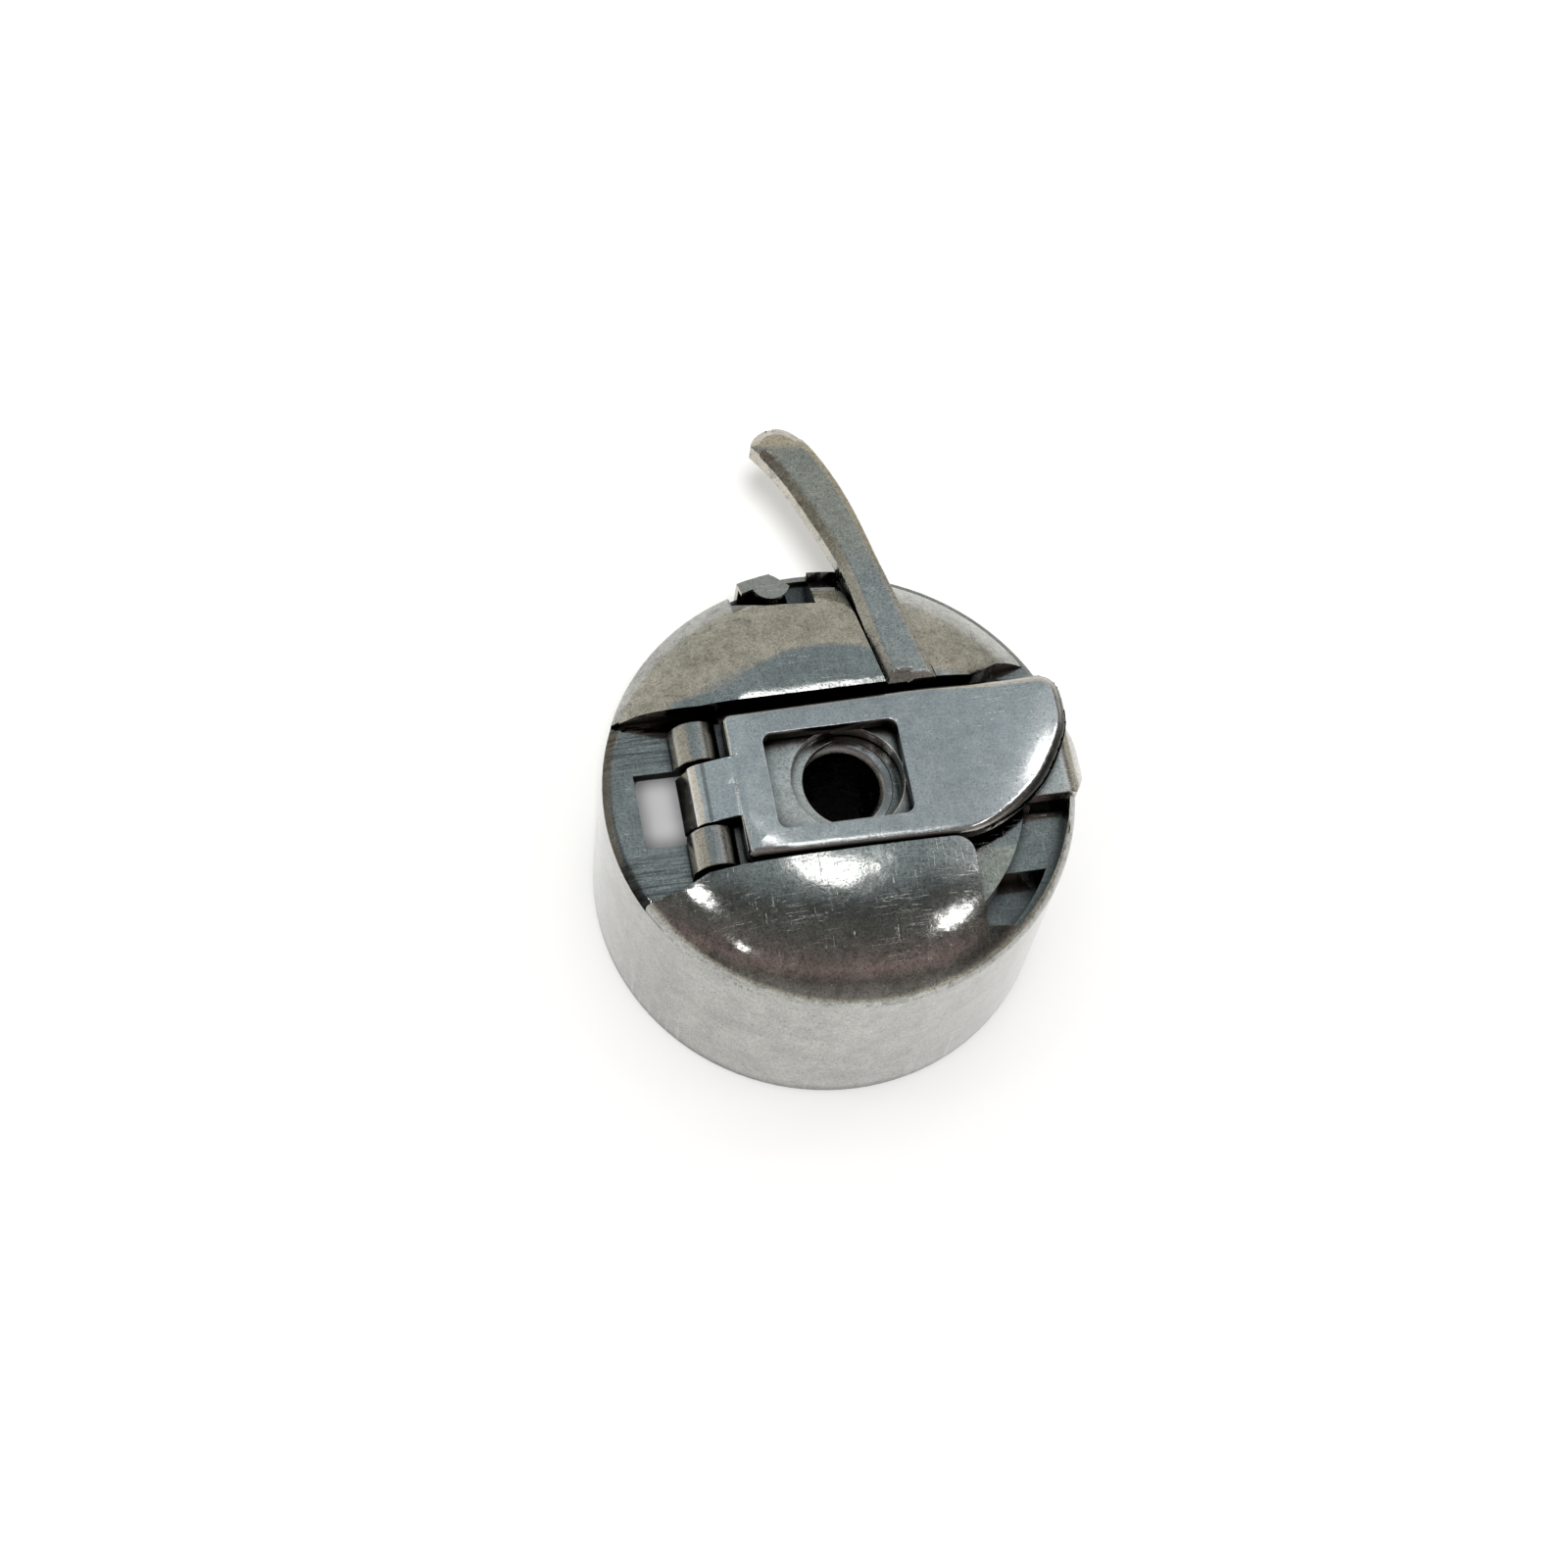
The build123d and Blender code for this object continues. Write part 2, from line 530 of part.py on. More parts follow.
with BuildPart() as latch_lever:
    # plate with its spoon-shaped free end
    with BuildSketch(Plane.XY.offset(LEVER_BOTTOM_Z)) as plate:
        with BuildLine():
            shoulder = Line((LEVER_SHOULDER_X, 3.85), (LEVER_SHOULDER_X, -3.72))
            front_edge = Line(shoulder @ 1, (5.0, -3.9))
            sweep_edge = Spline(
                front_edge @ 1,
                (7.6, -3.2),
                (9.9, -1.4),
                (11.15, 0.6),
                (11.5, 2.5),
                tangents=((1, 0.0), (0, 1)),
            )
            tip_edge = Spline(
                sweep_edge @ 1,
                (11.2, 3.7),
                (10.2, 4.1),
                tangents=((0, 1), (-1, 0)),
            )
            Line(tip_edge @ 1, shoulder @ 0)
        make_face()
        fillet(plate.vertices().sort_by(Axis.X)[:2], LEVER_SHOULDER_R)
        with Locations(((LEVER_WINDOW_X_LOW + LEVER_WINDOW_X_HIGH) / 2, 0)):
            RectangleRounded(
                LEVER_WINDOW_X_HIGH - LEVER_WINDOW_X_LOW,
                2 * LEVER_WINDOW_HALF_Y,
                LEVER_WINDOW_R,
                mode=Mode.SUBTRACT,
            )
    extrude(amount=LEVER_TOP_Z - LEVER_BOTTOM_Z)
    top_edges = latch_lever.faces().sort_by(Axis.Z)[-1].outer_wire().edges()
    fillet(top_edges.filter_by_position(Axis.X, LEVER_SHOULDER_X + LEVER_EDGE_R / 2, FAR), LEVER_EDGE_R)

    # knuckle blended into the plate, with the cam that dips through the floor window
    with BuildSketch(Plane.XZ.offset(MIDDLE_KNUCKLE_HALF_Y)):
        with Locations((PIN_X, PIN_Z)):
            Circle(LEVER_KNUCKLE_R)
        with BuildLine():
            Polyline(
                (LEVER_ROOT_X_HIGH, LEVER_BOTTOM_Z),
                (LEVER_ROOT_X_HIGH, LEVER_TOP_Z),
                (LEVER_ROOT_X_LOW, LEVER_TOP_Z),
                (LEVER_ROOT_X_LOW, LEVER_BOTTOM_Z),
                close=True,
            )
        make_face()
        make_hull()
    extrude(amount=-2 * MIDDLE_KNUCKLE_HALF_Y)
    with BuildSketch(Plane.XY.offset(LEVER_BOTTOM_Z)):
        with Locations((LEVER_SHOULDER_X, 0)):
            Rectangle(FAR, FAR, align=(Align.MIN, Align.CENTER))
    extrude(amount=-TOP_Z / 2, mode=Mode.SUBTRACT)
    cam_x = PIN_X + CAM_REACH * cos(radians(CAM_ANGLE))
    cam_z = PIN_Z + CAM_REACH * sin(radians(CAM_ANGLE))
    with BuildSketch(Plane.XZ.offset(CAM_HALF_Y)):
        with Locations((PIN_X, PIN_Z)):
            Circle(LEVER_KNUCKLE_R)
        with Locations((cam_x, cam_z)):
            Circle(CAM_NOSE_R)
        make_hull()
    extrude(amount=-2 * CAM_HALF_Y)
    with BuildSketch(Plane.XZ):
        with Locations((PIN_X, PIN_Z)):
            Circle(PIN_R + PIN_GAP)
    extrude(amount=FAR, both=True, mode=Mode.SUBTRACT)
latch_lever.part.label = "latch_lever"

with BuildPart() as slide_spring:
    spring_start = SPRING_X_LOW + SPRING_WIRE_R + SPRING_SEAT_GAP
    spring_end = SPRING_X_HIGH - SPRING_WIRE_R - SPRING_SEAT_GAP
    pitch = (spring_end - spring_start) / SPRING_TURNS
    with BuildLine():
        coil = Helix(
            pitch,
            spring_end - spring_start,
            SPRING_COIL_R,
            center=(spring_start, 0, SPRING_Z),
            direction=(1, 0, 0),
        )
    with BuildSketch(Plane(origin=coil @ 0, z_dir=coil % 0)):
        Circle(SPRING_WIRE_R)
    sweep(path=coil, is_frenet=True)
slide_spring.part.label = "slide_spring"

with BuildPart() as tension_spring:
    # curved leaf, then the raised end that carries the folded tab
    for start_angle, end_angle, low_z, high_z in (
        (LEAF_START_ANGLE, LEAF_END_ANGLE, LEAF_LOW_Z, LEAF_HIGH_Z),
        (TAB_ROOT_ANGLE, LEAF_END_ANGLE, LEAF_HIGH_Z, TAB_TOP_Z),
    ):
        with BuildSketch(Plane.XY.offset(low_z)):
            with BuildLine():
                Polyline(
                    (0, 0),
                    polar(2 * FAR, start_angle),
                    polar(2 * FAR, (start_angle + end_angle) / 2),
                    polar(2 * FAR, end_angle),
                    close=True,
                )
            make_face()
            Circle(LEAF_INNER_R + LEAF_THICK, mode=Mode.INTERSECT)
            Circle(LEAF_INNER_R, mode=Mode.SUBTRACT)
        extrude(amount=high_z - low_z)
    with BuildSketch(Plane.XY.offset(TAB_TOP_Z)):
        with BuildLine():
            nose = ThreePointArc((-2.4, 10.95), (-1.5, 10.3), (-0.55, 10.9))
            Polyline(
                nose @ 1,
                polar(TAB_CORNER_R, TAB_CORNER_ANGLE),
                polar(TAB_OUTER_R, TAB_ROOT_ANGLE),
                polar(TAB_OUTER_R, LEAF_END_ANGLE),
                polar(TAB_INNER_R, LEAF_END_ANGLE),
                nose @ 0,
            )
        make_face()
    extrude(amount=-LEAF_THICK)
    for screw_angle in (ADJUSTER_ANGLE, FIXING_ANGLE):
        with BuildSketch(radial_plane(screw_angle, LEAF_INNER_R - SCREW_HOLE_OVERRUN, SCREW_Z)):
            Circle(SCREW_LEAF_HOLE_R)
        extrude(amount=LEAF_THICK + 2 * SCREW_HOLE_OVERRUN, mode=Mode.SUBTRACT)
tension_spring.part.label = "tension_spring"

tension_adjusting_screw = screw(
    ADJUSTER_ANGLE, ADJUSTER_HEAD_R, ADJUSTER_HEAD_HEIGHT, "tension_adjusting_screw"
)
tension_fixing_screw = screw(
    FIXING_ANGLE, FIXING_HEAD_R, FIXING_HEAD_HEIGHT, "tension_fixing_screw"
)

os.makedirs("parts", exist_ok=True)
for solid in (
    case_body.part,
    centre_post.part,
    position_finger.part,
    latch_slide.part,
    hinge_pin.part,
    latch_lever.part,
    slide_spring.part,
    tension_spring.part,
    tension_adjusting_screw,
    tension_fixing_screw,
):
    export_step(solid, f"parts/{solid.label}.step")
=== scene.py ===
"""Bobbin case on a white table, lit softly from above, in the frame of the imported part."""
import json
import math

import bmesh
import bpy
from mathutils import Matrix, Vector
from mathutils.kdtree import KDTree

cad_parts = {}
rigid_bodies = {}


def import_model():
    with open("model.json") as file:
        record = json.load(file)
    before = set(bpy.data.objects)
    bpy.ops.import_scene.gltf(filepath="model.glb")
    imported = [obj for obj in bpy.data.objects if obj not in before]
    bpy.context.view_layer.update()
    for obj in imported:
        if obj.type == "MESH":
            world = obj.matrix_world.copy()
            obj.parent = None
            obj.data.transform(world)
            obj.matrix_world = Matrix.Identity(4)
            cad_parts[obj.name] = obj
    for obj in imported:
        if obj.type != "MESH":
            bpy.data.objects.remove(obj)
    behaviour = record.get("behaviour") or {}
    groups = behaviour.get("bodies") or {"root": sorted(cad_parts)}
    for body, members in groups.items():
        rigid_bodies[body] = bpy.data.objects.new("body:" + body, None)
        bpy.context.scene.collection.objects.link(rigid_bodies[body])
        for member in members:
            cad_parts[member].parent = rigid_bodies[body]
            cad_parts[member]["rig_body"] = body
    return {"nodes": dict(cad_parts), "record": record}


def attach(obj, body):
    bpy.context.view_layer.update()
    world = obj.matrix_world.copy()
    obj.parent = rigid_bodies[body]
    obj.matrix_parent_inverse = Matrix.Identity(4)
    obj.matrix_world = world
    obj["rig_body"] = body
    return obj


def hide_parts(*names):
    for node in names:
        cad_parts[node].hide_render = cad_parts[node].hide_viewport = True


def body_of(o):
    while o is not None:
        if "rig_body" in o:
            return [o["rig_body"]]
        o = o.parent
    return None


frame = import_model()
nodes = frame["nodes"]
slots = {s["node"]: s["material_slot"] for s in frame["record"]["subparts"]}
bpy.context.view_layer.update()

# one millimetre in metres; the sizes and places below are in millimetres and the angles in degrees
MM = 0.001

CAMERA_AZIMUTH = -21.70
CAMERA_ELEVATION = 64.08
CAMERA_ROLL = 12.45
CAMERA_TARGET = (-1.524, 3.418, 5.0)
CAMERA_DISTANCE = 158.68
CAMERA_LENS = 72.01
CAMERA_SENSOR = 36

# soft boxes: direction from the case, width as an angle, radiance
BOX_DISTANCE = 300
BOX_TARGET_Z = 12
SOFT_BOXES = {
    "box_top": ((0.13, 0.25, 0.96), 6, 4.2),
    "box_right": ((0.414, -0.083, 0.906), 5, 9),
    "box_end": ((0.50, 0.19, 0.845), 5, 9),
    "box_left": ((-0.371, 0.049, 0.927), 5, 9),
    "box_front": ((-0.350, -0.260, 0.900), 2.5, 8),
}
# suns that light the table and matt surfaces only: strength, angle, direction of the light
SUNS = {
    "fill": (1.85, 7, (0.125, 0.404, -0.906)),
    "fill_soft": (0.65, 60, (0.05, 0.15, -1.0)),
}
SUN_COLOUR = (0.985, 0.99, 1.0)
PAPER_COLOUR = (0.94, 0.94, 0.935)

# cup
CUP_R = 11.5
SHOULDER_Z = 11.4
DOME_HEIGHT = 2.2
DOME_FLAT_R = 7.0
CHANNEL_BACK_Y = 4.3
UNDERCUT_TOP_Z = 12.28
REAR_BLOCK_Z = 12.1

# where each lobe's reshaping starts, and the near lobe's new profile
NEAR_LOBE_Y = -4.1
FAR_LOBE_Y = 4.2
NEAR_FLAT_R = 3.6
NEAR_SIDE = 7.95

# chamfer along the outer edge of the floor beside the hinge
FLOOR_CHAMFER_X = -9.75
FLOOR_CHAMFER_R = 11.1
FLOOR_CHAMFER_LOW_Z = 11.3
FLOOR_CHAMFER_SLOPE = 0.7

# finger and lever plates
FINGER_BOTTOM_Z = 12.4
FINGER_TOP_Z = 13.6
LEVER_BOTTOM_Z = 12.3
LEVER_TOP_Z = 13.1

# how the pieces' meshes are cleaned and smoothed
MERGE_DISTANCE = 0.002
FLAT_ANGLE = 0.6
BEVEL_ANGLE = 42
BEVEL_SEGMENTS = 2
SMOOTH_ANGLE = 35
CRISP_ANGLE = 20


# ---------------------------------------------------------------- camera
def place_camera():
    """Camera that looks down on the face from the front left, rolled a little."""
    azimuth, elevation, roll = map(math.radians, (CAMERA_AZIMUTH, CAMERA_ELEVATION, CAMERA_ROLL))
    target = Vector(CAMERA_TARGET) * MM
    distance = CAMERA_DISTANCE * MM
    back = Vector((
        math.sin(azimuth) * math.cos(elevation),
        -math.cos(azimuth) * math.cos(elevation),
        math.sin(elevation),
    ))
    right = (-back).cross(Vector((0, 0, 1))).normalized()
    up = right.cross(-back)
    rolled_right = right * math.cos(roll) + up * math.sin(roll)
    rolled_up = -right * math.sin(roll) + up * math.cos(roll)
    turn = Matrix((rolled_right, rolled_up, back)).transposed()
    data = bpy.data.cameras.new("camera")
    data.sensor_width = CAMERA_SENSOR
    data.lens = CAMERA_LENS
    data.clip_start = 5 * MM
    data.clip_end = 10000 * MM
    camera = bpy.data.objects.new("camera", data)
    bpy.context.collection.objects.link(camera)
    camera.matrix_world = Matrix.Translation(target + back * distance) @ turn.to_4x4()
    bpy.context.scene.camera = camera


place_camera()
bpy.context.scene.view_settings.view_transform = "Standard"


# ---------------------------------------------------------------- node helpers
class Tree:
    """Short calls for the few node types that the materials and the room are made of."""

    def __init__(self, tree):
        self.tree = tree

    def add(self, kind):
        return self.tree.nodes.new(kind)

    def link(self, source, target):
        self.tree.links.new(source, target)

    def split(self, vector):
        """The x, y and z of a vector."""
        node = self.add("ShaderNodeSeparateXYZ")
        self.link(vector, node.inputs[0])
        return tuple(node.outputs)

    def math(self, operation, a, b=None, c=None, clamp=False):
        node = self.add("ShaderNodeMath")
        node.operation = operation
        node.use_clamp = clamp
        for socket, value in zip(node.inputs, (a, b, c)):
            if value is None:
                continue
            if isinstance(value, (int, float)):
                socket.default_value = value
            else:
                self.link(value, socket)
        return node.outputs[0]

    def ramp(self, factor, stops, interpolation="LINEAR"):
        """Colours, or shades of grey, at stops along a factor."""
        node = self.add("ShaderNodeValToRGB")
        node.color_ramp.interpolation = interpolation
        elements = node.color_ramp.elements
        while len(elements) < len(stops):
            elements.new(0.5)
        for element, (place, colour) in zip(elements, stops):
            element.position = place
            if isinstance(colour, (int, float)):
                colour = (colour, colour, colour)
            element.color = (*colour, 1)
        self.link(factor, node.inputs[0])
        return node.outputs[0]

    def mix(self, factor, a, b, blend="MIX"):
        node = self.add("ShaderNodeMix")
        node.data_type = "RGBA"
        node.blend_type = blend
        for socket, value in ((node.inputs[0], factor), (node.inputs[6], a), (node.inputs[7], b)):
            if isinstance(value, (int, float)):
                socket.default_value = value
            elif isinstance(value, tuple):
                socket.default_value = (*value, 1)
            else:
                self.link(value, socket)
        return node.outputs[2]

    def noise(self, vector, scale, detail=4.0, rough=0.55, distortion=0.0):
        node = self.add("ShaderNodeTexNoise")
        node.inputs["Scale"].default_value = scale
        node.inputs["Detail"].default_value = detail
        node.inputs["Roughness"].default_value = rough
        node.inputs["Distortion"].default_value = distortion
        self.link(vector, node.inputs["Vector"])
        return node.outputs["Fac"]

    def step(self, value, low, high):
        """0 below low, 1 above high and a soft step between them."""
        node = self.add("ShaderNodeMapRange")
        node.interpolation_type = "SMOOTHSTEP"
        node.inputs["From Min"].default_value = low
        node.inputs["From Max"].default_value = high
        self.link(value, node.inputs["Value"])
        return node.outputs[0]

    def below(self, value, low, high):
        """1 below low, 0 above high and a soft step between them."""
        return self.outside(self.step(value, low, high))

    def between(self, value, rise, fall):
        """1 between two soft steps, each given by its ends."""
        return self.all_of(self.step(value, *rise), self.below(value, *fall))

    def radius(self, x, y):
        """Distance from the cup's axis."""
        squares = (self.math("MULTIPLY", x, x), self.math("MULTIPLY", y, y))
        return self.math("SQRT", self.math("ADD", *squares))

    def all_of(self, *masks):
        """Product of masks."""
        product = masks[0]
        for mask in masks[1:]:
            product = self.math("MULTIPLY", product, mask)
        return product

    def outside(self, mask):
        """1 where the mask is 0 and 0 where it is 1."""
        return self.math("SUBTRACT", 1.0, mask)

    def darkened(self, mask, share):
        """1 where the mask is 0 and 1 - share where it is 1."""
        return self.outside(self.math("MULTIPLY", mask, share))

    def stretched(self, vector, scale, rotation=(0, 0, 0)):
        """A vector scaled along its own axes after a turn, in radians."""
        node = self.add("ShaderNodeMapping")
        node.inputs["Scale"].default_value = scale
        node.inputs["Rotation"].default_value = rotation
        self.link(vector, node.inputs["Vector"])
        return node.outputs[0]


# ---------------------------------------------------------------- light
def make_world():
    """Room seen in the steel: blue-grey overhead, warm near the horizon, dark on the camera's side.

    x, y and z are parts of the direction looked in, each from -1 to 1.
    """
    world = bpy.data.worlds.new("room")
    bpy.context.scene.world = world
    world.use_nodes = True
    t = Tree(world.node_tree)
    background = world.node_tree.nodes["Background"]
    x, y, z = t.split(t.add("ShaderNodeTexCoord").outputs["Generated"])
    by_height = t.ramp(z, [
        (0.0, (0.88, 0.84, 0.74)),
        (0.2, (0.80, 0.77, 0.66)),
        (0.55, (0.72, 0.67, 0.57)),
        (0.70, (0.80, 0.75, 0.64)),
        (0.735, (0.52, 0.55, 0.54)),
        (0.77, (0.38, 0.46, 0.495)),
        (1.0, (0.39, 0.46, 0.485)),
    ])

    # the camera's side
    shade_ahead = t.ramp(y, [
        (0.0, (0.17, 0.17, 0.16)),
        (0.10, (0.10, 0.105, 0.10)),
        (0.30, (0.26, 0.29, 0.30)),
    ])
    shade_behind = t.ramp(t.math("MULTIPLY", y, -1.0), [
        (0.02, (0.17, 0.17, 0.16)),
        (0.20, (0.23, 0.20, 0.19)),
        (0.36, (0.38, 0.29, 0.28)),
        (0.56, (0.20, 0.18, 0.165)),
        (0.80, (0.34, 0.32, 0.30)),
    ])
    shade = t.mix(t.ramp(y, [(0.0, 1.0), (0.04, 0.0)]), shade_ahead, shade_behind)
    near = t.ramp(y, [(0.06, 1.0), (0.33, 0.0)], "EASE")
    colour = t.mix(t.all_of(near, t.step(z, 0.12, 0.45)), by_height, shade)

    # dark panel on the right
    panel = t.all_of(t.step(x, 0.44, 0.62), t.below(y, 0.42, 0.60), t.step(z, 0.4, 0.6))
    colour = t.mix(panel, colour, (0.11, 0.105, 0.095))

    # glow that the lever's free end faces, and a darker far right
    toward_end = t.math("ADD", t.math("MULTIPLY", x, 0.5), t.math("MULTIPLY", y, 0.3))
    toward_end = t.math("ADD", toward_end, t.math("MULTIPLY", z, 0.81))
    glow = t.math("MULTIPLY", t.step(toward_end, 0.955, 1.0), 0.6)
    colour = t.mix(glow, colour, (0.90, 0.96, 1.0))
    far_right = t.ramp(t.step(x, 0.55, 0.80), [(0.0, 1.0), (1.0, 0.66)])
    colour = t.mix(1.0, colour, far_right, "MULTIPLY")
    t.link(colour, background.inputs["Color"])
    background.inputs["Strength"].default_value = 1.0


def soft_box(name, direction, width, radiance):
    """Square soft box that the case sees in a direction, as wide as an angle."""
    side = 2 * BOX_DISTANCE * math.tan(math.radians(width / 2)) * MM
    data = bpy.data.lights.new(name, "AREA")
    data.shape = "SQUARE"
    data.size = side
    data.energy = radiance * math.pi * side * side
    light = bpy.data.objects.new(name, data)
    bpy.context.collection.objects.link(light)
    facing = Vector(direction).normalized()
    light.location = (facing * BOX_DISTANCE + Vector((0, 0, BOX_TARGET_Z))) * MM
    light.rotation_euler = (-facing).to_track_quat("-Z", "Y").to_euler()


def sun(name, energy, angle, direction):
    """Sun that isn't mirrored in the steel."""
    data = bpy.data.lights.new(name, "SUN")
    data.energy = energy
    data.angle = math.radians(angle)
    data.color = SUN_COLOUR
    light = bpy.data.objects.new(name, data)
    bpy.context.collection.objects.link(light)
    light.rotation_euler = Vector(direction).to_track_quat("-Z", "Y").to_euler()
    light.visible_glossy = False


def lay_table():
    """Plain white table top."""
    bpy.ops.mesh.primitive_plane_add(size=3000 * MM)
    floor = bpy.context.object
    floor.name = "floor"
    paper = bpy.data.materials.new("white_table")
    paper.use_nodes = True
    shader = paper.node_tree.nodes["Principled BSDF"]
    shader.inputs["Base Color"].default_value = (*PAPER_COLOUR, 1)
    shader.inputs["Roughness"].default_value = 0.75
    shader.inputs["Specular IOR Level"].default_value = 0.1
    floor.data.materials.append(paper)


make_world()
for name, (direction, width, radiance) in SOFT_BOXES.items():
    soft_box(name, direction, width, radiance)
for name, (energy, angle, direction) in SUNS.items():
    sun(name, energy, angle, direction)
lay_table()


# ---------------------------------------------------------------- materials
def steel(
    name,
    light,
    dark,
    roughness=(0.2, 0.34),
    mottle=1.0,
    spots=0.5,
    grain=(1.0, 1.0, 1.0),
    grain_turn=0.0,
    grain_depth=0.3,
    dents=0.3,
    reach=2.4,
    recess_shade=((0.2, 0.01), (0.52, 0.3), (0.86, 1.0)),
    stain_and_shade=None,
):
    """Worn polished steel: cloudy colour, dark specks, scratches, shallow dents, local stains and painted
    shade in recesses.

    mottle scales the clouds and spots is the strength of the specks. grain stretches the fine
    lines and grain_turn turns them, in radians. reach is how far from a wall the painted shade in
    a recess begins. The last argument gives a colour, for stains and for painted shade or sheen,
    that the whole is multiplied by.
    """
    material = bpy.data.materials.new(name)
    material.use_nodes = True
    t = Tree(material.node_tree)
    shader = material.node_tree.nodes["Principled BSDF"]
    shader.inputs["Metallic"].default_value = 1.0
    coords = t.add("ShaderNodeTexCoord").outputs["Object"]
    mm = t.stretched(coords, (1000, 1000, 1000))

    cloud = t.noise(mm, 0.55 * mottle, 6, 0.62, 0.6)
    patch = t.noise(mm, 2.3 * mottle, 5, 0.65, 0.3)
    speck = t.noise(mm, 7.5, 3, 0.7)
    fine = t.noise(mm, 12.0, 2, 0.7)
    clouds = t.ramp(cloud, [(0.30, 0.0), (0.72, 1.0)], "EASE")
    patches = t.ramp(patch, [(0.32, 0.0), (0.70, 1.0)])
    tone = t.math("MULTIPLY_ADD", clouds, 0.55, t.math("MULTIPLY", patches, 0.45))
    base = t.mix(tone, dark, light)
    speckle = t.ramp(speck, [(0.28, 0.25), (0.44, 0.86), (0.56, 1.0)])
    pepper = t.ramp(fine, [(0.30, 0.5), (0.56, 1.0)])
    base = t.mix(spots, base, t.mix(1.0, base, speckle, "MULTIPLY"))
    base = t.mix(spots, base, t.mix(1.0, base, pepper, "MULTIPLY"))

    lines = t.noise(t.stretched(mm, grain, (0, 0, grain_turn)), 9.0, 3, 0.7)
    scratch_a = t.noise(t.stretched(mm, (0.25, 9.0, 1.0), (0, 0, 0.5)), 2.6, 2, 0.5, 0.4)
    scratch_b = t.noise(t.stretched(mm, (7.0, 0.22, 1.0), (0, 0, -0.3)), 2.2, 2, 0.5, 0.4)
    cut_a = t.ramp(scratch_a, [(0.66, 0.0), (0.72, 1.0)])
    cut_b = t.ramp(scratch_b, [(0.67, 0.0), (0.73, 1.0)])
    cuts = t.math("MAXIMUM", cut_a, cut_b)
    base = t.mix(t.math("MULTIPLY", cuts, 0.25), base, (0.74, 0.75, 0.76))
    # painted shade: the colour darkens in recesses, by ambient occlusion, within reach of a wall
    recess = t.add("ShaderNodeAmbientOcclusion")
    recess.samples = 8
    recess.inputs["Distance"].default_value = reach * MM
    painted_shade = t.ramp(recess.outputs["AO"], recess_shade)
    base = t.mix(1.0, base, painted_shade, "MULTIPLY")
    if stain_and_shade:
        base = t.mix(1.0, base, stain_and_shade(t, mm, *t.split(mm)), "MULTIPLY")
    t.link(base, shader.inputs["Base Color"])

    low, high = roughness
    rough = t.math("MULTIPLY_ADD", lines, (high - low) * 0.6, low)
    rough = t.math("MULTIPLY_ADD", patches, (high - low) * 0.7, rough)
    rougher = t.math("ADD", rough, t.math("MULTIPLY", cuts, 0.08), clamp=True)
    t.link(rougher, shader.inputs["Roughness"])

    def bump(strength, distance, height, normal=None):
        node = t.add("ShaderNodeBump")
        node.inputs["Strength"].default_value = strength
        node.inputs["Distance"].default_value = distance * MM
        t.link(height, node.inputs["Height"])
        if normal:
            t.link(normal, node.inputs["Normal"])
        return node.outputs[0]

    waves = t.noise(mm, 0.9, 2, 0.4, 0.2)
    normal = bump(dents, 0.12, waves)
    normal = bump(dents * 0.6, 0.03, patch, normal)
    normal = bump(grain_depth, 0.006, lines, normal)
    normal = bump(0.12, 0.01, speckle, normal)
    normal = bump(0.25, -0.008, cuts, normal)
    t.link(normal, shader.inputs["Normal"])
    return material


def case_stain_and_shade(t, mm, x, y, z):
    """Milled floor, painted shade in the recesses, on the floor's bevel and on the wall's sides, a paler
    plate at the corner and a tarnished dome.
    """
    radius = t.radius(x, y)
    inside = t.below(radius, 11.35, 11.45)

    # floor beside the hinge: milling marks towards both ends and painted shade on the bevel at the wall
    level = t.between(z, (11.04, 11.08), (11.37, 11.42))
    lines = t.noise(t.stretched(mm, (0.22, 5.0, 0.2)), 1.5, 5, 0.75)
    marks = t.all_of(t.below(lines, 0.40, 0.56), t.step(t.math("ABSOLUTE", y), 1.2, 3.4))
    milled = t.all_of(t.below(x, -5.6, -5.4), level, marks)
    bevel = t.all_of(level, t.below(x, -9.9, -9.7), t.step(radius, 10.98, 11.16))

    # notch at the back, and the cut-away corner: painted shade in the notch and in the corner's pocket, and
    # a paler plate
    notch = t.all_of(
        t.step(y, 9.0, 9.3), t.between(x, (-3.75, -3.6), (2.3, 2.5)), t.below(z, 12.42, 12.5), inside
    )
    corner = t.all_of(t.step(x, 5.2, 5.4), t.below(y, -4.3, -4.1), inside)
    pocket = t.all_of(corner, t.below(z, 10.5, 10.65))
    plate = t.all_of(corner, t.between(z, (11.1, 11.3), (11.4, 11.45)))

    # wall and dome: painted shade on the wall's sides, tarnish and pits on the dome
    sides = t.all_of(t.step(t.math("ABSOLUTE", x), 4.0, 10.5), t.below(z, 10.9, 11.3))
    dome = t.step(z, 11.3, 11.6)
    tarnish = t.step(t.noise(mm, 1.5, 7, 0.78, 0.4), 0.47, 0.63)
    tarnished = t.all_of(tarnish, dome, t.step(radius, 5.5, 9.5))
    pits = t.all_of(t.step(t.noise(mm, 4.2, 4, 0.7), 0.60, 0.68), dome)

    grey = t.all_of(
        t.darkened(milled, 0.55),
        t.darkened(bevel, 0.6),
        t.darkened(notch, 0.55),
        t.darkened(pocket, 0.25),
        t.darkened(sides, 0.13),
        t.darkened(tarnished, 0.3),
        t.darkened(pits, 0.35),
    )
    return t.mix(plate, grey, (1.35, 1.26, 1.12))


def finger_stain(t, mm, x, y, z):
    """Warmer, tarnished outer half."""
    return t.mix(t.step(y, 9.5, 13.0), (1.0, 1.0, 1.0), (1.04, 0.99, 0.89))


